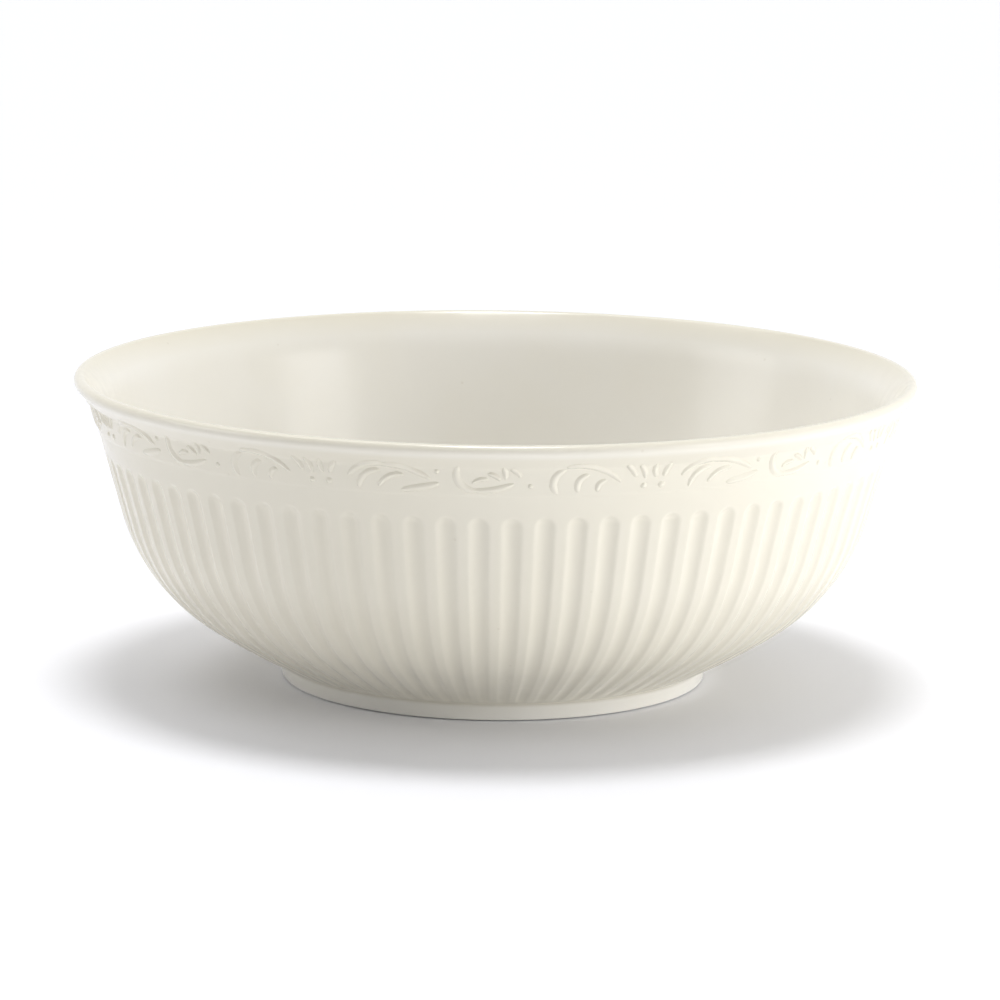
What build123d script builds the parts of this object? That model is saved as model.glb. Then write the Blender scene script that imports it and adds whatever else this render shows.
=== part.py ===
from build123d import *
from math import asin, cos, degrees, radians, sin, tan
import os

# A glazed porcelain serving bowl: a fluted wall below a moulded band, an everted lip and a low foot ring.
# Origin at the middle of the foot's resting plane, +Z up along the bowl's axis, millimetres.
# A lean is the angle between a surface and upright, in degrees, as seen in a section through the axis.
# A face's inset is how far it lies inside the bowl's outer face.

# ---- overall -----------------------------------------------------------------------------------------
rim_radius = 127.0
rim_height = 93.0
wall = 4.0

# ---- wall: a nearly straight side, a round belly and a shallow heel, each tangent to the next --------
side_lean = 15.4
side_base_radius = 112.9
side_base_height = 51.6
belly_radius = 57.3
belly_lean = 56.9
heel_radius = 225.0
floor_thickness = 4.2
floor_fillet = 45.0

# ---- lip ---------------------------------------------------------------------------------------------
lip_lean = 45.0
lip_thickness = 3.7
lip_cove_radius = 3.0
lip_inner_radius = 24.0

# ---- foot ring ---------------------------------------------------------------------------------------
foot_height = 5.2
foot_top_radius = 65.0
foot_base_radius = 64.0
foot_inner_top_radius = 57.6
foot_inner_base_radius = 59.0
foot_edge_radius = 0.8

# ---- flutes: grooves with round tips, as wide as the wall's girth allows -----------------------------
flute_count = 80
flute_first_angle = 2.46
flute_tip_height = 71.0
flute_depth = 0.8
flute_tool_radius = 5.4

# ---- moulded relief band -----------------------------------------------------------------------------
repeat_count = 8
band_height = 82.5
band_radius = 121.4
band_half_width = 4.8
relief_height = 0.7

os.makedirs("parts", exist_ok=True)


def arc_point(centre, radius, lean):
    """The point of an arc about centre at which its surface has the given lean."""
    return (centre[0] + radius * cos(radians(lean)), centre[1] - radius * sin(radians(lean)))


def side_point(height, inset):
    """The point of the straight side at a height."""
    run = (height - side_base_height) * tan(radians(side_lean))
    return (side_base_radius + run - inset / cos(radians(side_lean)), height)


def heel_lean(height, inset):
    """The lean of the heel at a height."""
    return degrees(asin((heel_centre[1] - height) / (heel_radius - inset)))


def lip_root(lip_point, inset):
    """Where the lip's straight face, run back down from lip_point, meets the side."""
    gap = lip_point[0] - side_point(lip_point[1], inset)[0]
    drop = gap / (tan(radians(lip_lean)) - tan(radians(side_lean)))
    return side_point(lip_point[1] - drop, inset)


# ---- section of the bowl, in the XZ plane: local x is the radius and local y the height --------------
belly_centre = arc_point((side_base_radius, side_base_height), -belly_radius, side_lean)
heel_centre = arc_point(belly_centre, belly_radius - heel_radius, belly_lean)
crease_lean = heel_lean(foot_height, 0)
floor_height = foot_height + floor_thickness
floor_lean = heel_lean(floor_height, wall)

lip_radius = lip_thickness / 2
lip_centre = (rim_radius - lip_radius, rim_height - lip_radius)
lip_outer_end = arc_point(lip_centre, lip_radius, lip_lean)
lip_inner_end = arc_point(lip_centre, -lip_radius, lip_lean)
lip_crest = arc_point(lip_centre, lip_radius, lip_lean - 90)
lip_outer_root = lip_root(lip_outer_end, 0)
lip_inner_root = lip_root(lip_inner_end, wall)

with BuildSketch(Plane.XZ) as section:
    with BuildLine():
        outer_heel = CenterArc(heel_centre, heel_radius, -crease_lean, crease_lean - belly_lean)
        outer_belly = CenterArc(belly_centre, belly_radius, -belly_lean, belly_lean - side_lean)
        Polyline(outer_belly @ 1, lip_outer_root, lip_outer_end)
        ThreePointArc(lip_outer_end, lip_crest, lip_inner_end)
        inner_belly = CenterArc(belly_centre, belly_radius - wall, -belly_lean, belly_lean - side_lean)
        Polyline(lip_inner_end, lip_inner_root, inner_belly @ 1)
        inner_heel = CenterArc(heel_centre, heel_radius - wall, -floor_lean, floor_lean - belly_lean)
        Polyline(inner_heel @ 0, (0, floor_height), (0, foot_height), outer_heel @ 0)
    make_face()
    fillet(section.vertices().sort_by_distance(Vector(*lip_outer_root))[0], lip_cove_radius)
    fillet(section.vertices().sort_by_distance(Vector(*lip_inner_root))[0], lip_inner_radius)
    fillet(section.vertices().sort_by_distance(inner_heel @ 0)[0], floor_fillet)


# ---- flute cutter: a ball-nosed tool that follows the wall and drifts off it towards the foot --------
def tool_point(wall_point, lean):
    """The ball's centre over a point of the wall. The cut's depth falls as the girth squared."""
    depth = flute_depth * (wall_point[0] / side_point(flute_tip_height, 0)[0]) ** 2
    return arc_point(wall_point, flute_tool_radius - depth, lean)


flute_half_width = (flute_depth * (2 * flute_tool_radius - flute_depth)) ** 0.5
ball_height = flute_tip_height - flute_half_width * cos(radians(side_lean))
belly_leans = [side_lean + (belly_lean - side_lean) * step / 3 for step in range(3)]
heel_leans = [belly_lean + (crease_lean - belly_lean) * step / 3 for step in range(5)]

with BuildPart() as flute_cutter:
    with BuildLine(Plane.XZ) as tool_path:
        Spline(
            tool_point(side_point(ball_height, 0), side_lean),
            tool_point(side_point((ball_height + side_base_height) / 2, 0), side_lean),
            *[tool_point(arc_point(belly_centre, belly_radius, lean), lean) for lean in belly_leans],
            *[tool_point(arc_point(heel_centre, heel_radius, lean), lean) for lean in heel_leans],
        )
    with BuildSketch(tool_path.line ^ 0):
        Circle(flute_tool_radius)
    sweep()
    with Locations(tool_path.line @ 0):
        Sphere(flute_tool_radius)

# ---- bowl body: wall, floor and lip. The flutes are cut in turns, so that no two tools touch ---------
cutting_turns = 4
with BuildPart() as bowl_body:
    add(section.sketch)
    revolve(axis=Axis.Z)
    for turn in range(cutting_turns):
        turn_angle = flute_first_angle + turn * 360 / flute_count
        with PolarLocations(0, flute_count // cutting_turns, start_angle=turn_angle):
            add(flute_cutter.part, mode=Mode.SUBTRACT)
bowl_body.part.label = "bowl_body"
export_step(bowl_body.part, "parts/bowl_body.step")

# ---- foot ring: under the wall's crease, with soft edges and a flat annulus to rest on ---------------
with BuildPart() as foot_ring:
    with BuildSketch(Plane.XZ) as foot_section:
        with BuildLine():
            Polyline(
                (foot_inner_top_radius, foot_height),
                (foot_top_radius, foot_height),
                (foot_base_radius, 0),
                (foot_inner_base_radius, 0),
                close=True,
            )
        make_face()
        fillet(foot_section.vertices().group_by(Axis.Y)[0], foot_edge_radius)
    revolve(axis=Axis.Z)
foot_ring.part.label = "foot_ring"
export_step(foot_ring.part, "parts/foot_ring.step")

# ---- relief skin: the layer of slip, one relief height thick, that the motifs are cut from -----------
with BuildPart() as relief_skin:
    with BuildSketch(Plane.XZ) as skin_section:
        offset(section.sketch_local, amount=relief_height)
        add(section.sketch_local, mode=Mode.SUBTRACT)
        with Locations((side_point(band_height - band_half_width, 0)[0], band_height)):
            Rectangle(
                2 * band_half_width,
                2 * band_half_width,
                align=(Align.MIN, Align.CENTER),
                mode=Mode.INTERSECT,
            )
    revolve(axis=Axis.Z)


# ---- motifs, drawn on the band seen from outside: x to the right, y up, from the motif's own centre --
def stroke(start, end, bulge, width):
    """A crescent from start to end. It bows to the left of its direction by bulge, and ends in points."""
    start = Vector(*start)
    end = Vector(*end)
    middle = (start + end) / 2
    left = (end - start).normalized().rotate(Axis.Z, 90)
    with BuildLine() as outline:
        ThreePointArc(start, middle + left * (bulge + width / 2), end)
        ThreePointArc(end, middle + left * (bulge - width / 2), start)
    make_face(outline.line.edges())


def dot(x, y, radius):
    """A small round bud."""
    with Locations((x, y)):
        Circle(radius)


def tendril_arch():
    """A tendril that rises, arches over two curls and falls to a leaf."""
    stroke((-12.6, 0.2), (-2.4, 4.0), 1.5, 1.5)
    stroke((-2.2, 3.9), (10.4, 0.2), 1.4, 1.3)
    stroke((-9.8, -3.4), (-3.8, 1.9), 1.7, 1.5)
    stroke((-3.9, -2.6), (3.0, 1.0), 1.2, 1.3)
    stroke((2.8, -3.5), (12.8, -1.4), -0.2, 1.7)
    dot(12.7, 2.4, 0.8)


def crook_scroll():
    """A crook that sweeps down and round into a long flourish, with leaves in its lap."""
    stroke((-7.4, 3.9), (-2.3, -3.3), -2.4, 1.8)
    stroke((-2.2, -3.4), (7.8, -1.2), -0.7, 1.5)
    stroke((-3.2, -0.9), (0.8, 0.2), 0.5, 1.1)
    stroke((1.2, 2.0), (4.4, 0.2), 0.3, 1.1)
    stroke((5.3, 3.8), (5.8, 0.5), 0.3, 1.2)
    stroke((7.4, 3.3), (10.0, 1.2), 0.4, 1.1)
    dot(12.7, -1.8, 0.8)


def fan_arch():
    """Three crescents of falling size under one long arch."""
    stroke((-6.4, -4.0), (-4.6, 2.9), 2.0, 1.7)
    stroke((-0.3, -3.5), (2.2, 1.3), 1.5, 1.5)
    stroke((5.2, -3.5), (7.4, -0.6), 1.0, 1.3)
    stroke((-3.8, 4.1), (11.6, -0.8), 2.0, 1.3)


def flower_spray():
    """Four petals that open upwards from two buds."""
    stroke((-7.2, 4.0), (-4.3, 0.4), 0.4, 1.3)
    stroke((-3.3, 3.9), (-1.4, -0.1), 0.4, 1.3)
    stroke((1.4, 3.9), (1.9, 0.2), -0.4, 1.3)
    stroke((5.9, 3.6), (4.2, 0.2), -0.4, 1.3)
    dot(-1.7, -2.5, 1.0)
    dot(3.6, -2.4, 1.1)


# Each motif and the angle of its first copy, from +X, anticlockwise seen from above.
motifs = {
    "tendril_arch": (tendril_arch, 256.5),
    "crook_scroll": (crook_scroll, 268.7),
    "fan_arch": (fan_arch, 281.3),
    "flower_spray": (flower_spray, 290.9),
}

for motif_name, (draw_motif, first_angle) in motifs.items():
    for repeat in range(repeat_count):
        out = Vector(1, 0, 0).rotate(Axis.Z, first_angle + repeat * 360 / repeat_count)
        along = out.rotate(Axis.Z, 90)
        middle = out * band_radius + Vector(0, 0, band_height)
        with BuildPart() as sprig:
            with BuildSketch(Plane(middle, x_dir=along, z_dir=out)):
                draw_motif()
            extrude(amount=2 * band_half_width, both=True)
            add(relief_skin.part, mode=Mode.INTERSECT)
        sprig.part.label = f"{motif_name}_{repeat + 1}"
        export_step(sprig.part, f"parts/{sprig.part.label}.step")
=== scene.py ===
from math import asin, cos, degrees, pi, radians, sin, tan

import bpy
import numpy as np
from mathutils import Matrix, Vector


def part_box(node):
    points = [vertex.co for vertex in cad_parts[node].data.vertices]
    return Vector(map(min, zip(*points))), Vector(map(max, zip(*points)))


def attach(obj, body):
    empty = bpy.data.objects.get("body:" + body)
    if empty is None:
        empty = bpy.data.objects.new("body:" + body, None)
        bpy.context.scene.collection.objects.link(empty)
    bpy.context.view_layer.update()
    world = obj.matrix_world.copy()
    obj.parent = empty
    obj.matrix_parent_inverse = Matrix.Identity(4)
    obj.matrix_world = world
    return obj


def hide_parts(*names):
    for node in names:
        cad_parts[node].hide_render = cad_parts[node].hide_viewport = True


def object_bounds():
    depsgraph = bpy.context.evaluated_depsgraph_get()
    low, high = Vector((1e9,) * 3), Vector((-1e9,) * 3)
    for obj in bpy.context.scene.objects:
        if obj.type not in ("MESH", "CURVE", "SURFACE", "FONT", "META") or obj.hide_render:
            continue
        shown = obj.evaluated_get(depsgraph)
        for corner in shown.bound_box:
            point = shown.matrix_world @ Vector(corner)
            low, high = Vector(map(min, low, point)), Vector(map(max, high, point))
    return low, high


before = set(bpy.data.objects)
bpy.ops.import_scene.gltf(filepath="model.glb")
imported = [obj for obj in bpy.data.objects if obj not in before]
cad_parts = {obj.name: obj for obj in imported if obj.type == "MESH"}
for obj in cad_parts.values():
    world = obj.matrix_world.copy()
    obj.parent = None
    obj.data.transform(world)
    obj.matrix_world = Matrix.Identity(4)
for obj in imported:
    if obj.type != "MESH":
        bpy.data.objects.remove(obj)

# The porcelain serving bowl's looks: a fluted wall with a soft moulded band, a rolled lip and a foot ring,
# all under one glossy cream glaze. Lengths are metres. The wall, lip, foot and band have the CAD model's
# sizes; the flutes are a little deeper and softer here. A lean is the angle between a surface and upright,
# in degrees, in a section through the axis.

cad_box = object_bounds()
millimetre = 0.001

# ---- overall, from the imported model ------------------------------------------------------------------
rim_radius = cad_box[1][0]
rim_height = cad_box[1][2]
foot_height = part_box("foot_ring")[1][2]
wall = 4.0 * millimetre

# ---- wall ----------------------------------------------------------------------------------------------
side_lean = 15.4
side_base = (112.9 * millimetre, 51.6 * millimetre)
belly_radius = 57.3 * millimetre
belly_lean = 56.9
heel_radius = 225.0 * millimetre
floor_height = foot_height + 4.2 * millimetre
floor_fillet = 45.0 * millimetre
middle_radius = 2.0 * millimetre

# ---- lip -----------------------------------------------------------------------------------------------
lip_lean = 45.0
lip_radius = 1.85 * millimetre
lip_cove_radius = 3.0 * millimetre
lip_inner_radius = 24.0 * millimetre
lip_bend_rows = 9

# ---- foot ring -----------------------------------------------------------------------------------------
foot_top_radius = 65.0 * millimetre
foot_base_radius = 64.2 * millimetre
foot_rest_radius = 62.6 * millimetre
foot_inner_top_radius = 57.6 * millimetre
foot_inner_base_radius = 59.0 * millimetre
foot_edge_height = 0.45 * millimetre
foot_edge_radius = 0.35 * millimetre
foot_inner_edge_radius = 0.8 * millimetre
foot_cove_radius = 2.2 * millimetre
foot_embed = 0.3 * foot_cove_radius
crease_step = 0.9

# ---- flutes --------------------------------------------------------------------------------------------
flute_count = 80
flute_first_angle = radians(2.46)
flute_tip_height = 71.0 * millimetre
flute_depth = 0.9 * millimetre
flute_tool_radius = 4.6 * millimetre
flute_softness = 0.07 * millimetre
flute_fade = 4.0 * millimetre
flute_half_width = (flute_depth * (2 * flute_tool_radius - flute_depth)) ** 0.5
plain_zone_height = 73.5 * millimetre

# ---- moulded band --------------------------------------------------------------------------------------
band_height = 82.5 * millimetre
band_step_height = 77.7 * millimetre
band_step = 0.12 * millimetre
band_step_width = 0.5 * millimetre
band_step_fade = 3.0 * millimetre
repeat_count = 8

# ---- relief on the band: spread and edge set how wide and how soft its strokes are ---------------------
# A stroke's end width and the swell to its middle are shares of the width that is given with the stroke.
relief_height = 0.46 * millimetre
relief_spread = 0.92
relief_edge = 1.4
relief_join = 4
relief_sink = 0.02 * millimetre
relief_backing = 0.5 * millimetre
relief_cell = 0.22 * millimetre
relief_half_length = 15.5 * millimetre
relief_half_height = 5.4 * millimetre
stroke_end_width = 0.30
stroke_swell = 0.45
stroke_end_height = 0.45

# ---- painted shade: how much darker cream is painted on as shade, from 0 on the inside to 1 ------------
# Painted shade that makes the whole outside darker than the inside.
outer_painted_shade = 0.60
# More painted shade in the flutes, deepest where they cut deepest.
flute_painted_shade = 0.04
# Painted shade round the edges of the relief's strokes, and how fast it falls off up a stroke.
relief_edge_painted_shade = 0.10
relief_edge_shade_fall = 3
# How far the outside's painted shade reaches in over the lip.
lip_shade_fade = 6.0 * millimetre
# How closely the painted shade on the foot keeps to its crease with the wall.
foot_shade_power = 8

# ---- colours -------------------------------------------------------------------------------------------
cream = (0.908, 0.882, 0.808, 1)
thin_cream = (0.918, 0.896, 0.834, 1)
# The darker, warmer cream that is painted on as shade.
shaded_cream = (0.755, 0.703, 0.552, 1)
pinhole_brown = (0.55, 0.48, 0.36, 1)
bare_porcelain = (0.850, 0.822, 0.765, 1)
paper_white = (0.905, 0.912, 0.950, 1)

# ---- gloss, and where the glaze was wiped off the foot -------------------------------------------------
coat_weight = 0.22
coat_roughness = 0.14
foot_roughness = 0.22
bare_roughness = 0.65
wipe_height = 0.4 * millimetre
wipe_width = 0.4 * millimetre
wipe_wobble = 0.6 * millimetre

# ---- studio: the room's brightness in front of the bowl and behind it ----------------------------------
room_front = 0.12
room_back = 0.90
paper_reach = 7.0

# ---- mesh density --------------------------------------------------------------------------------------
columns_per_flute = 16
fine_columns = flute_count * columns_per_flute
coarse_step = 4


# ==== profile ===========================================================================================
def arc_point(centre, radius, lean):
    """The point of an arc about centre at which its surface has the given lean."""
    return (centre[0] + radius * cos(radians(lean)), centre[1] - radius * sin(radians(lean)))


def arc(centre, radius, first_lean, last_lean, count):
    """Points along an arc about centre, between two leans."""
    return [arc_point(centre, radius, lean) for lean in np.linspace(first_lean, last_lean, count)]


def line(start, end, count):
    """Points along a straight run."""
    return [tuple(point) for point in np.linspace(start, end, count)]


def side_point(height, inset):
    """The point of the straight side at a height, inset within the outer face."""
    run = (height - side_base[1]) * tan(radians(side_lean))
    return (side_base[0] + run - inset / cos(radians(side_lean)), height)


def lip_root(lip_point, inset):
    """Where the lip's straight face, run back down from lip_point, meets the side."""
    gap = lip_point[0] - side_point(lip_point[1], inset)[0]
    drop = gap / (tan(radians(lip_lean)) - tan(radians(side_lean)))
    return side_point(lip_point[1] - drop, inset)


def lip_bend(root, radius):
    """The arc that rounds the corner between the side and the lip, from the side up to the lip."""
    half_turn = radians(lip_lean - side_lean) / 2
    reach = radius * tan(half_turn)
    start = (root[0] - reach * sin(radians(side_lean)), root[1] - reach * cos(radians(side_lean)))
    centre = arc_point(start, radius, side_lean)
    return arc(centre, -radius, side_lean, lip_lean, lip_bend_rows)


belly_centre = arc_point(side_base, -belly_radius, side_lean)
heel_centre = arc_point(belly_centre, belly_radius - heel_radius, belly_lean)
crease_lean = degrees(asin((heel_centre[1] - foot_height) / heel_radius))
lip_centre = (rim_radius - lip_radius, rim_height - lip_radius)
lip_outer_end = arc_point(lip_centre, lip_radius, lip_lean)
lip_inner_end = arc_point(lip_centre, -lip_radius, lip_lean)

inner_heel_radius = heel_radius - wall
fillet_height = floor_height + floor_fillet
fillet_reach = inner_heel_radius - floor_fillet
fillet_rise = heel_centre[1] - fillet_height
fillet_centre = (heel_centre[0] + (fillet_reach**2 - fillet_rise**2) ** 0.5, fillet_height)
fillet_lean = degrees(asin(fillet_rise / fillet_reach))


def fluted_rows():
    """The outer wall from the foot's crease to the plain zone, with closer rows at the flutes' tips."""
    rows = arc(heel_centre, heel_radius, crease_lean, belly_lean, 16)
    rows += arc(belly_centre, belly_radius, belly_lean, side_lean, 21)[1:]
    rows += line(side_base, side_point(flute_tip_height - 1.4 * flute_half_width, 0), 8)[1:]
    tip = side_point(flute_tip_height + 0.3 * flute_half_width, 0)
    return rows + line(rows[-1], tip, 13)[1:]


def rim_rows():
    """The plain zone, band, lip and inside, down to the middle of the floor."""
    cove = lip_bend(lip_root(lip_outer_end, 0), lip_cove_radius)
    swell = lip_bend(lip_root(lip_inner_end, wall), lip_inner_radius)
    step = (band_step_height - band_step_width, band_step_height + band_step_width)
    rows = line(side_point(plain_zone_height, 0), side_point(step[0], 0), 3)
    rows += line(rows[-1], side_point(step[1], 0), 7)[1:]
    rows += line(rows[-1], cove[0], 5)[1:] + cove[1:]
    rows += line(cove[-1], lip_outer_end, 4)[1:]
    rows += arc(lip_centre, lip_radius, lip_lean, lip_lean - 180, 15)[1:]
    rows += line(lip_inner_end, swell[-1], 4)[1:] + swell[-2::-1]
    rows += line(swell[0], arc_point(belly_centre, belly_radius - wall, side_lean), 6)[1:]
    rows += arc(belly_centre, belly_radius - wall, side_lean, belly_lean, 14)[1:]
    rows += arc(heel_centre, inner_heel_radius, belly_lean, fillet_lean, 5)[1:]
    rows += arc(fillet_centre, floor_fillet, fillet_lean, 90, 9)[1:]
    return rows + line(rows[-1], (middle_radius, floor_height), 6)[1:]


def normals_of(rows):
    """Unit normals of a profile, to the right of its direction: out of the porcelain."""
    along = np.gradient(np.array(rows), axis=0)
    along /= np.linalg.norm(along, axis=1)[:, None]
    return np.stack([along[:, 1], -along[:, 0]], axis=1)


def flute_cut(rows, angles):
    """How deep the flutes cut at each row and column. Their tips are round."""
    rows = np.array(rows)
    radius = rows[:, 0:1]
    run = np.concatenate([[0], np.cumsum(np.linalg.norm(np.diff(rows, axis=0), axis=1))])
    tip_radius = side_point(flute_tip_height, 0)[0]
    ball = np.interp(flute_tip_height, rows[:, 1], run) - flute_half_width
    spacing = 2 * pi / flute_count
    away = (angles - flute_first_angle + spacing / 2) % spacing - spacing / 2
    across = away[None, :] * radius
    beyond = np.maximum(run - ball, 0)[:, None]
    reach = np.hypot(across, beyond)
    fade = np.clip((run - foot_cove_radius) / flute_fade, 0, 1)[:, None]
    depth = flute_depth * (radius / tip_radius) ** 2 * fade * (2 - fade)
    cut = depth - reach**2 / (2 * flute_tool_radius)
    return (cut + np.sqrt(cut**2 + flute_softness**2)) / 2 - flute_softness**2 / (4 * flute_depth)


# ==== meshes ============================================================================================
def new_piece(name, points, faces, nodes):
    """A smooth-shaded mesh piece that rides on the bowl and stands for some of its CAD nodes."""
    name = f"{name}_glazed"
    mesh = bpy.data.meshes.new(name)
    mesh.from_pydata(np.asarray(points).tolist(), [], faces)
    mesh.validate()
    mesh.shade_smooth()
    piece = bpy.data.objects.new(name, mesh)
    bpy.context.scene.collection.objects.link(piece)
    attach(piece, "root")
    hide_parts(*nodes)
    return piece


def spin(rows, columns):
    """A grid of points: every profile row turned through every column's angle."""
    rows = np.array(rows)
    turned = [rows[:, 0:1] * np.cos(columns), rows[:, 0:1] * np.sin(columns)]
    return np.stack(turned + [np.repeat(rows[:, 1:2], len(columns), axis=1)], axis=-1)


def band_faces(first, row_count, column_count):
    """Quads between neighbouring rows of a closed ring grid, facing outwards for rows that run upwards."""
    faces = []
    for row in range(row_count - 1):
        low = first + row * column_count
        for column in range(column_count):
            after = (column + 1) % column_count
            high = low + column_count
            faces.append((low + column, low + after, high + after, high + column))
    return faces


def add_amount(piece, name, values):
    """Stores a number for each vertex, for the glaze to read."""
    layer = piece.data.attributes.new(name, "FLOAT", "POINT")
    layer.data.foreach_set("value", np.asarray(values, dtype=np.float32).ravel())


def smooth(share):
    """A share held between 0 and 1, with soft ends."""
    share = np.clip(share, 0, 1)
    return share**2 * (3 - 2 * share)


def join_rings(fine_first, coarse_first, column_count):
    """Faces between a fine ring and a coarse one beside it, facing outwards when the fine ring is below."""
    fine_count = column_count * coarse_step
    faces = []
    for column in range(column_count):
        after = (column + 1) % column_count
        edge = [fine_first + (column * coarse_step + k) % fine_count for k in range(coarse_step + 1)]
        faces.append((*edge, coarse_first + after, coarse_first + column))
    return faces


def close_ring(first, middle, column_count):
    """Triangles from a ring to the point in its middle, facing up."""
    return [(first + column, first + (column + 1) % column_count, middle) for column in range(column_count)]


def turned_over(faces):
    """The same faces, facing the other way."""
    return [face[::-1] for face in faces]


def build_body():
    """Wall, lip, inside and underside as one closed skin, finer where the flutes are."""
    fine = np.linspace(0, 2 * pi, fine_columns, endpoint=False)
    coarse = fine[::coarse_step]
    low_rows = fluted_rows()
    cut = flute_cut(low_rows, fine)
    low = spin(low_rows, fine) - spin(normals_of(low_rows), fine) * cut[..., None]
    low[0, :, 2] = foot_height

    high_rows = rim_rows()
    heights = np.array(high_rows)[:, 1]
    outside = np.arange(len(high_rows)) < high_rows.index(lip_outer_end)
    step = band_step * smooth((heights - band_step_height) / band_step_width / 2 + 0.5)
    rise = step * outside * np.clip((lip_outer_end[1] - heights) / band_step_fade, 0, 1)
    high = spin(high_rows, coarse) + spin(normals_of(high_rows), coarse) * rise[:, None, None]

    under_rows = [(foot_top_radius, foot_height)]
    under_rows += line((foot_inner_top_radius, foot_height), (middle_radius, foot_height), 6)
    under = spin(under_rows, coarse)
    middles = [(0, 0, floor_height), (0, 0, foot_height)]
    points = np.concatenate([grid.reshape(-1, 3) for grid in (low, high, under)] + [middles])

    count = len(coarse)
    high_start = low[..., 0].size
    under_start = high_start + high[..., 0].size
    floor_middle = under_start + under[..., 0].size
    faces = band_faces(0, len(low_rows), fine_columns)
    faces += join_rings(high_start - fine_columns, high_start, count)
    faces += band_faces(high_start, len(high_rows), count)
    faces += close_ring(under_start - count, floor_middle, count)
    faces += turned_over(join_rings(0, under_start, count))
    faces += turned_over(band_faces(under_start, len(under_rows), count))
    faces += turned_over(close_ring(floor_middle - count, floor_middle + 1, count))
    body = new_piece("bowl_body", points, faces, ["bowl_body"])

    # Painted shade: the darker cream over the outside, more in the flutes, fading in over the lip to none
    # inside.
    inward = np.clip(1 - (lip_inner_end[1] - heights) / lip_shade_fade, 0, 1)
    painted_shade = np.zeros(len(points))
    painted_shade[:high_start] = outer_painted_shade + flute_painted_shade * (cut / flute_depth).ravel()
    painted_shade[high_start:under_start] = np.repeat(outer_painted_shade * np.where(outside, 1, inward), count)
    add_amount(body, "painted_shade", painted_shade)
    return body


def round_corner(before, corner, after, radius, count):
    """The points of an arc that rounds one corner of an outline."""
    before, corner, after = (np.array(point) for point in (before, corner, after))
    back = (before - corner) / np.linalg.norm(before - corner)
    on = (after - corner) / np.linalg.norm(after - corner)
    half = np.arccos(np.clip(back @ on, -1, 1)) / 2
    centre = corner + (back + on) / np.linalg.norm(back + on) * radius / sin(half)
    first = corner + back * radius / tan(half) - centre
    last = corner + on * radius / tan(half) - centre
    turns = np.linspace(0, 1, count)
    span = pi - 2 * half
    blend = [(sin((1 - t) * span) * first + sin(t * span) * last) / sin(span) for t in turns]
    return [tuple(centre + step) for step in blend]


def build_foot():
    """The foot ring, with soft edges, a glaze-filled crease and painted shade towards that crease. Its top
    is hidden in the wall.
    """
    cove = foot_cove_radius
    crease = (foot_top_radius, foot_height)
    wall_on = arc_point(heel_centre, heel_radius, crease_lean - crease_step)
    base = (foot_base_radius, foot_edge_height)
    rest = (foot_rest_radius, 0)
    inner_base = (foot_inner_base_radius, 0)
    inner_top = (foot_inner_top_radius, foot_height)
    ceiling = (foot_inner_top_radius - 3 * cove, foot_height)
    rows = [(foot_top_radius - 2 * cove, foot_height + foot_embed)]
    rows += round_corner(wall_on, crease, base, cove, 8)
    rows += round_corner(crease, base, rest, foot_edge_radius, 6)
    rows += round_corner(base, rest, inner_base, foot_edge_radius, 4)
    rows += round_corner(rest, inner_base, inner_top, foot_inner_edge_radius, 8)
    rows += round_corner(inner_base, inner_top, ceiling, cove, 8)
    rows.append((foot_inner_top_radius + cove, foot_height + foot_embed))
    columns = np.linspace(0, 2 * pi, fine_columns // coarse_step, endpoint=False)
    points = spin(rows, columns).reshape(-1, 3)
    # The row after the last one is the first one again, which closes the ring's section.
    faces = turned_over(band_faces(0, len(rows) + 1, len(columns)))
    faces = [tuple(corner % len(points) for corner in face) for face in faces]
    foot = new_piece("foot_ring", points, faces, ["foot_ring"])
    # Painted shade on the foot, as dark as the wall's at the crease and fading to none below it.
    add_amount(foot, "painted_shade", outer_painted_shade * np.clip(points[:, 2] / foot_height, 0, 1) ** foot_shade_power)
    return foot


# ==== relief ============================================================================================
# A motif is drawn on the band as seen from outside, in millimetres: x to the right, y up, from its own
# middle. A stroke is (start, end, bulge to the left of its direction, width); a bud is (x, y, radius).
tendril_arch = (
    [
        ((-12.6, 0.2), (-2.4, 4.0), 1.5, 1.5),
        ((-3.4, 3.9), (10.4, 0.2), 1.2, 1.4),
        ((-9.8, -3.4), (-3.8, 1.9), 1.7, 1.5),
        ((-3.9, -2.6), (3.0, 1.0), 1.2, 1.3),
        ((2.8, -3.5), (12.8, -1.4), -0.2, 1.7),
    ],
    [(12.7, 2.4, 0.8)],
)
crook_scroll = (
    [
        ((-7.4, 3.9), (-2.3, -3.3), -2.4, 1.8),
        ((-3.0, -3.2), (7.8, -1.2), -0.7, 1.5),
        ((-3.2, -0.9), (0.8, 0.2), 0.5, 1.1),
        ((1.2, 2.0), (4.4, 0.2), 0.3, 1.1),
        ((5.3, 3.8), (5.8, 0.5), 0.3, 1.2),
        ((7.4, 3.3), (10.0, 1.2), 0.4, 1.1),
    ],
    [(12.7, -1.8, 0.8)],
)
fan_arch = (
    [
        ((-6.4, -4.0), (-4.6, 2.9), 2.0, 1.7),
        ((-0.3, -3.5), (2.2, 1.3), 1.5, 1.5),
        ((5.2, -3.5), (7.4, -0.6), 1.0, 1.3),
        ((-3.8, 4.1), (11.6, -0.8), 2.0, 1.3),
    ],
    [],
)
flower_spray = (
    [
        ((-7.2, 4.0), (-4.3, 0.4), 0.4, 1.3),
        ((-3.3, 3.9), (-1.4, -0.1), 0.4, 1.3),
        ((1.4, 3.9), (1.9, 0.2), -0.4, 1.3),
        ((5.9, 3.6), (4.2, 0.2), -0.4, 1.3),
    ],
    [(-1.7, -2.5, 1.0), (3.6, -2.4, 1.1)],
)
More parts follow.
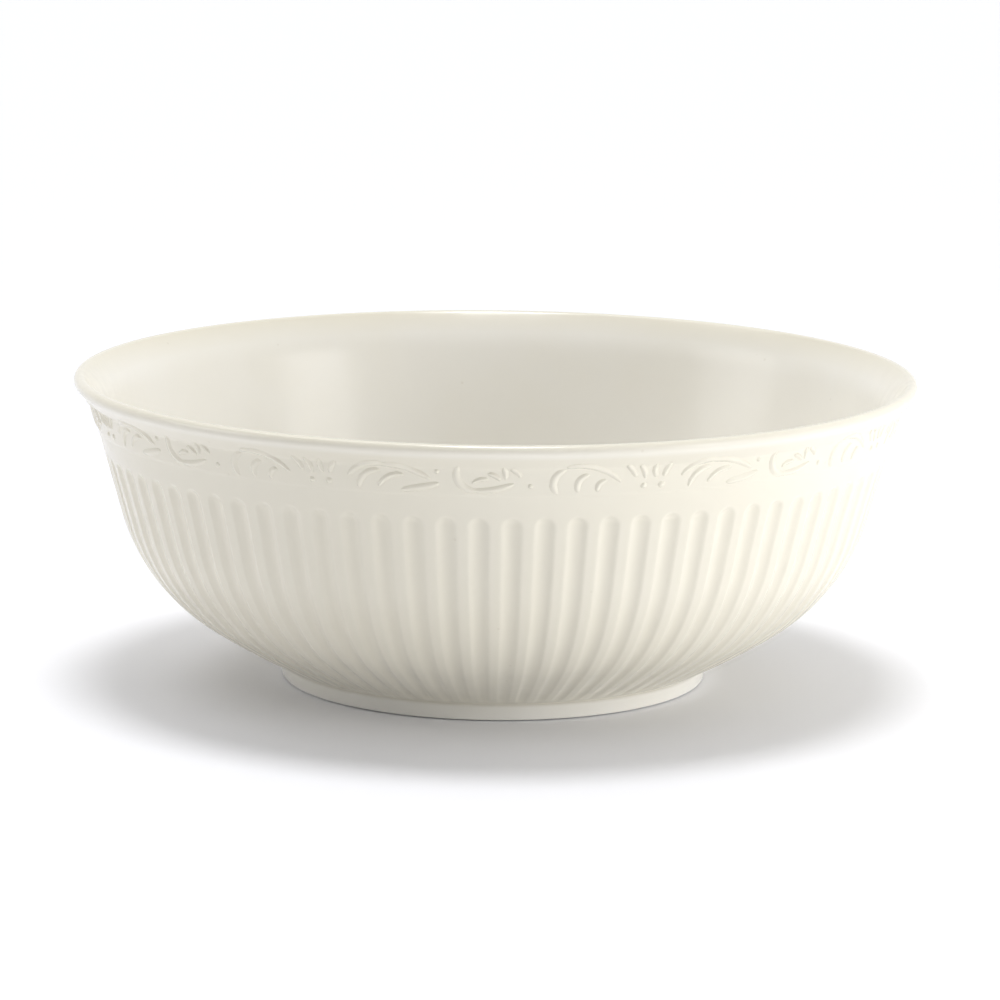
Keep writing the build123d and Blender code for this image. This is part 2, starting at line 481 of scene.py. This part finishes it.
motifs = {
    "tendril_arch": (tendril_arch, 256.5),
    "crook_scroll": (crook_scroll, 268.7),
    "fan_arch": (fan_arch, 281.3),
    "flower_spray": (flower_spray, 290.9),
}


def crest(distance):
    """The height of a ridge, from 1 on its line to 0 at a distance of 1."""
    return np.clip(1 - distance**2, 0, 1) ** relief_edge


def stroke_height(x, y, start, end, bulge, width):
    """The height of one crescent, from 0 to 1: a soft ridge along an arc, lower and thinner at its ends."""
    start = np.array(start)
    end = np.array(end)
    chord = np.linalg.norm(end - start)
    along = (end - start) / chord
    left = np.array([-along[1], along[0]])
    radius = (chord**2 / 4 + bulge**2) / (2 * bulge)
    centre = (start + end) / 2 + left * (bulge - radius)
    away_x = x - centre[0]
    away_y = y - centre[1]
    toward = np.sign(radius) * left
    turn = np.arctan2(away_x * along[0] + away_y * along[1], away_x * toward[0] + away_y * toward[1])
    half_turn = asin(min(chord / 2 / abs(radius), 1))
    place = np.clip(turn / half_turn, -1, 1)
    nearest = np.clip(turn, -half_turn, half_turn)
    near_x = centre[0] + abs(radius) * (toward[0] * np.cos(nearest) + along[0] * np.sin(nearest))
    near_y = centre[1] + abs(radius) * (toward[1] * np.cos(nearest) + along[1] * np.sin(nearest))
    distance = np.hypot(x - near_x, y - near_y)
    fullness = np.sqrt(np.clip(1 - place**2, 0, 1))
    half_width = relief_spread * (stroke_end_width + stroke_swell * fullness) * width
    return crest(distance / half_width) * (stroke_end_height + (1 - stroke_end_height) * fullness)


def bud_height(x, y, centre_x, centre_y, radius):
    """The height of one round bud, from 0 to 1."""
    return crest(np.hypot(x - centre_x, y - centre_y) / (relief_spread * radius))


def motif_height(x, y, strokes, buds):
    """The whole motif's height, with soft joins where strokes meet."""
    heights = [stroke_height(x, y, *stroke) for stroke in strokes] + [bud_height(x, y, *bud) for bud in buds]
    return np.sum([height**relief_join for height in heights], axis=0) ** (1 / relief_join)


def fill_corners(cells):
    """Adds cells wherever two would touch at a corner only, so that the solid's edges stay simple."""
    for row, column in np.ndindex(cells.shape[0] - 1, cells.shape[1] - 1):
        block = cells[row : row + 2, column : column + 2]
        if block[0, 0] == block[1, 1] and block[0, 1] == block[1, 0] and block[0, 0] != block[0, 1]:
            block[:] = True


def on_band(x, heights, rise, middle_angle):
    """The points of a grid laid on the band: x along it, rise out of it."""
    bend = lip_bend(lip_root(lip_outer_end, 0), lip_cove_radius)
    profile = [side_point(band_step_height, 0), *bend, lip_outer_end]
    radius = np.interp(heights, [point[1] for point in profile], [point[0] for point in profile])
    leans = np.linspace(side_lean, lip_lean, lip_bend_rows)
    lean = np.radians(np.interp(heights, [point[1] for point in bend], leans))[:, None]
    radius = radius[:, None] + np.zeros_like(x)
    angle = radians(middle_angle) + x / radius
    out = radius + rise * np.cos(lean)
    level = heights[:, None] - rise * np.sin(lean)
    return np.stack([out * np.cos(angle), out * np.sin(angle), level], axis=-1)


def grid_faces(cells):
    """Quads for the chosen cells of a grid, as corner numbers counted along its rows."""
    count = cells.shape[1] + 1
    lows = [row * count + column for row, column in np.argwhere(cells).tolist()]
    return [(low, low + 1, low + count + 1, low + count) for low in lows]


def thicken(piece):
    """Gives a sheet its backing, and leaves no modifier on it."""
    backing = piece.modifiers.new("backing", "SOLIDIFY")
    backing.thickness = relief_backing
    backing.offset = -1
    depsgraph = bpy.context.evaluated_depsgraph_get()
    solid = bpy.data.meshes.new_from_object(piece.evaluated_get(depsgraph))
    piece.modifiers.clear()
    piece.data = solid


def build_sprig(name, motif, middle_angle):
    """One motif as a closed, soft-edged solid that rises out of the band."""
    columns = np.arange(-relief_half_length, relief_half_length, relief_cell)
    rows = np.arange(-relief_half_height, relief_half_height, relief_cell)
    x, y = np.meshgrid(columns, rows)
    height = motif_height(x / millimetre, y / millimetre, *motif)
    heights = band_height + rows * cos(radians(side_lean))
    rise = height * relief_height + band_step - relief_sink
    points = on_band(x, heights, rise, middle_angle).reshape(-1, 3)
    raised = height > 0
    cells = raised[:-1, :-1] | raised[1:, :-1] | raised[:-1, 1:] | raised[1:, 1:]
    fill_corners(cells)
    faces = grid_faces(cells)
    used = sorted({corner for face in faces for corner in face})
    order = {corner: place for place, corner in enumerate(used)}
    faces = [tuple(order[corner] for corner in face) for face in faces]
    sprig = new_piece(name, points[used], faces, [name])
    # Painted shade round the edges of the strokes where they meet the band, over the outside's painted
    # shade.
    edge = 1 - np.clip(height.ravel()[used] * relief_edge_shade_fall, 0, 1)
    add_amount(sprig, "painted_shade", outer_painted_shade + relief_edge_painted_shade * edge)
    thicken(sprig)
    return sprig


# ==== materials =========================================================================================
class Nodes:
    """A short way to write a node tree: add a node, set its inputs, link sockets."""

    def __init__(self, name):
        self.material = bpy.data.materials.new(name)
        self.material.use_nodes = True
        self.tree = self.material.node_tree
        self.tree.nodes.clear()

    def add(self, kind, settings=(), **inputs):
        """A new node with its settings and inputs."""
        node = self.tree.nodes.new(kind)
        for key, value in settings:
            setattr(node, key, value)
        for key, value in inputs.items():
            self.feed(node, key.replace("_", " "), value)
        return node

    def feed(self, node, key, value):
        """Sets an input, by name or by number, or links it."""
        socket = node.inputs[int(key)] if key.isdigit() else node.inputs[key]
        if isinstance(value, bpy.types.NodeSocket):
            self.tree.links.new(value, socket)
        else:
            socket.default_value = value

    def ramp(self, factor, stops):
        """A smooth change between two (position, value) stops."""
        node = self.add("ShaderNodeMapRange", [("interpolation_type", "SMOOTHSTEP")], Value=factor)
        for end, (position, value) in zip(("Min", "Max"), stops):
            self.feed(node, f"From {end}", position)
            self.feed(node, f"To {end}", value)
        return node.outputs["Result"]

    def mix(self, factor, first, second):
        """A colour between two others. The numbers are the node's own sockets for factor and colours."""
        node = self.add("ShaderNodeMix", [("data_type", "RGBA")])
        self.feed(node, "0", factor)
        self.feed(node, "6", first)
        self.feed(node, "7", second)
        return node.outputs[2]


def glaze_material(name):
    """A clear cream glaze over porcelain, darker and warmer where shade is painted on, with a faint ripple.
    """
    glaze = Nodes(name)
    place = glaze.add("ShaderNodeTexCoord").outputs["Object"]
    painted_shade = glaze.add("ShaderNodeAttribute", [("attribute_name", "painted_shade")]).outputs["Fac"]
    clouds = glaze.add("ShaderNodeTexNoise", Vector=place, Scale=18.0, Detail=3.0, Roughness=0.55)
    ripple = glaze.add("ShaderNodeTexNoise", Vector=place, Scale=160.0, Detail=2.0, Roughness=0.5)
    grain = glaze.add("ShaderNodeTexNoise", Vector=place, Scale=1400.0, Detail=2.0, Roughness=0.6)
    specks = glaze.add("ShaderNodeTexVoronoi", [("feature", "F1")], Vector=place, Scale=95.0)
    drift = glaze.ramp(clouds.outputs["Fac"], ((0.35, 0.0), (0.65, 1.0)))
    tinted = glaze.mix(drift, cream, thin_cream)
    # Painted shade: mixes in the darker cream by the stored amount.
    tinted = glaze.mix(painted_shade, tinted, shaded_cream)
    pinhole = glaze.ramp(specks.outputs["Distance"], ((0.02, 0.16), (0.06, 0.0)))
    tinted = glaze.mix(pinhole, tinted, pinhole_brown)
    swell = glaze.add("ShaderNodeBump", Strength=0.12, Distance=0.0004, Height=ripple.outputs["Fac"])
    skin = glaze.add("ShaderNodeBump", Strength=0.05, Distance=0.0001, Height=grain.outputs["Fac"])
    glaze.feed(skin, "Normal", swell.outputs[0])
    sheen = glaze.ramp(ripple.outputs["Fac"], ((0.3, 0.20), (0.7, 0.27)))
    shader = glaze.add("ShaderNodeBsdfPrincipled", Normal=skin.outputs[0], Roughness=sheen)
    glaze.feed(shader, "Base Color", tinted)
    glaze.feed(shader, "IOR", 1.5)
    glaze.feed(shader, "Coat Weight", coat_weight)
    glaze.feed(shader, "Coat Roughness", coat_roughness)
    glaze.feed(shader, "Coat Normal", swell.outputs[0])
    glaze.add("ShaderNodeOutputMaterial", Surface=shader.outputs[0])
    return glaze, shader, tinted, place


def foot_material():
    """The same glaze, wiped off the edge that stood in the kiln: bare and dry there, along a wavy line."""
    glaze, shader, tinted, place = glaze_material("foot_glaze")
    axes = glaze.add("ShaderNodeSeparateXYZ", Vector=place)
    wobble = glaze.add("ShaderNodeTexNoise", Vector=place, Scale=60.0, Detail=3.0)
    shift = glaze.add("ShaderNodeMath", [("operation", "MULTIPLY_ADD")])
    glaze.feed(shift, "0", wobble.outputs["Fac"])
    glaze.feed(shift, "1", wipe_wobble)
    glaze.feed(shift, "2", axes.outputs["Z"])
    bare = glaze.ramp(shift.outputs[0], ((wipe_height, 1.0), (wipe_height + wipe_width, 0.0)))
    glaze.feed(shader, "Base Color", glaze.mix(bare, tinted, bare_porcelain))
    glaze.feed(shader, "Roughness", glaze.ramp(bare, ((0.0, foot_roughness), (1.0, bare_roughness))))
    glaze.feed(shader, "Coat Weight", glaze.ramp(bare, ((0.0, coat_weight), (1.0, 0.0))))
    return glaze.material


def floor_material():
    """Plain white studio paper with a barely visible tooth."""
    paper = Nodes("studio_paper")
    place = paper.add("ShaderNodeTexCoord").outputs["Object"]
    tooth = paper.add("ShaderNodeTexNoise", Vector=place, Scale=900.0, Detail=2.0)
    bump = paper.add("ShaderNodeBump", Strength=0.03, Distance=0.0002, Height=tooth.outputs["Fac"])
    shader = paper.add("ShaderNodeBsdfPrincipled", Roughness=0.85, Normal=bump.outputs[0])
    paper.feed(shader, "Base Color", paper_white)
    paper.feed(shader, "Specular IOR Level", 0.1)
    paper.add("ShaderNodeOutputMaterial", Surface=shader.outputs[0])
    return paper.material


# ==== studio ============================================================================================
def build_floor():
    """A wide sheet of paper that fills the view."""
    corners = [(paper_reach * x, paper_reach * y, 0) for x, y in ((-1, -1), (1, -1), (1, 1), (-1, 1))]
    mesh = bpy.data.meshes.new("floor")
    mesh.from_pydata(corners, [], [(0, 1, 2, 3)])
    floor = bpy.data.objects.new("floor", mesh)
    floor.data.materials.append(floor_material())
    bpy.context.scene.collection.objects.link(floor)


def aim(obj, place, target):
    """Puts a light at a place, facing a target."""
    direction = Vector(target) - Vector(place)
    obj.location = place
    obj.rotation_euler = direction.to_track_quat("-Z", "Y").to_euler()


def add_softbox(name, place, target, size, power, mirrored=True):
    """A rectangular studio light, which the glaze may mirror."""
    light = bpy.data.lights.new(name, "AREA")
    light.shape = "RECTANGLE"
    light.size = size[0]
    light.size_y = size[1]
    light.energy = power
    holder = bpy.data.objects.new(name, light)
    holder.visible_camera = False
    holder.visible_glossy = mirrored
    bpy.context.scene.collection.objects.link(holder)
    aim(holder, place, target)


def add_sky_patch(name, place, strength, spread):
    """A far, wide light, equally bright all over the floor."""
    light = bpy.data.lights.new(name, "SUN")
    light.energy = strength
    light.angle = radians(spread)
    holder = bpy.data.objects.new(name, light)
    bpy.context.scene.collection.objects.link(holder)
    aim(holder, place, (0, 0, 0))


def light_studio():
    """A white room, brighter behind the bowl, with soft light overhead, at the left and at the right."""
    world = bpy.data.worlds.new("studio")
    world.use_nodes = True
    tree = world.node_tree
    direction = tree.nodes.new("ShaderNodeTexCoord")
    axes = tree.nodes.new("ShaderNodeSeparateXYZ")
    brightness = tree.nodes.new("ShaderNodeMapRange")
    background = tree.nodes["Background"]
    background.inputs["Color"].default_value = (1, 1, 1, 1)
    for key, value in (("From Min", -1), ("From Max", 1), ("To Min", room_front), ("To Max", room_back)):
        brightness.inputs[key].default_value = value
    tree.links.new(direction.outputs["Generated"], axes.inputs[0])
    tree.links.new(axes.outputs["Y"], brightness.inputs["Value"])
    tree.links.new(brightness.outputs["Result"], background.inputs["Strength"])
    bpy.context.scene.world = world
    add_sky_patch("overhead", (0, 0.05, 1.0), 1.36, 18)
    add_sky_patch("back_left", (-0.33, 0.33, 0.88), 0.35, 30)
    add_sky_patch("low_right", (0.85, -0.50, 0.24), 0.32, 24)
    add_sky_patch("low_left", (-0.95, -0.10, 0.38), 0.36, 30)
    add_softbox("window", (1.07, -1.09, 0.56), (0, 0.1, 0.06), (0.9, 0.7), 0.8)
    add_softbox("card", (0.7, -0.3, 0.13), (0, 0, 0.02), (0.5, 0.22), 1.3, False)
    add_softbox("back_card", (0.6, 0.1, 0.13), (0, 0, 0.04), (0.4, 0.24), 0.4, False)
    add_softbox("foot_card", (0.42, -0.48, 0.035), (0, -0.02, 0.0), (0.3, 0.05), 0.24, False)


def place_camera():
    """A long lens a little above the rim, turned very slightly, as the reference view is."""
    elevation = radians(10.9)
    roll = radians(0.64)
    distance = 1.396
    target = Vector((0.0016, 0, 0.0536))
    forward = Vector((0, cos(elevation), -sin(elevation)))
    level = Vector((1, 0, 0))
    up = level.cross(forward)
    right = cos(roll) * level + sin(roll) * up
    up = cos(roll) * up - sin(roll) * level
    camera = bpy.data.cameras.new("camera")
    camera.sensor_width = 36
    camera.lens = 165.5
    camera.clip_start = 0.05
    holder = bpy.data.objects.new("camera", camera)
    bpy.context.scene.collection.objects.link(holder)
    rotation = Matrix((right, up, -forward)).transposed()
    holder.matrix_world = Matrix.Translation(target - forward * distance) @ rotation.to_4x4()
    bpy.context.scene.camera = holder


# ==== scene =============================================================================================
glaze = glaze_material("cream_glaze")[0].material
build_body().data.materials.append(glaze)
build_foot().data.materials.append(foot_material())
for motif_name, (motif, first_angle) in motifs.items():
    for repeat in range(repeat_count):
        sprig = build_sprig(f"{motif_name}_{repeat + 1}", motif, first_angle + repeat * 360 / repeat_count)
        sprig.data.materials.append(glaze)
build_floor()
light_studio()
place_camera()
bpy.context.scene.view_settings.view_transform = "Standard"
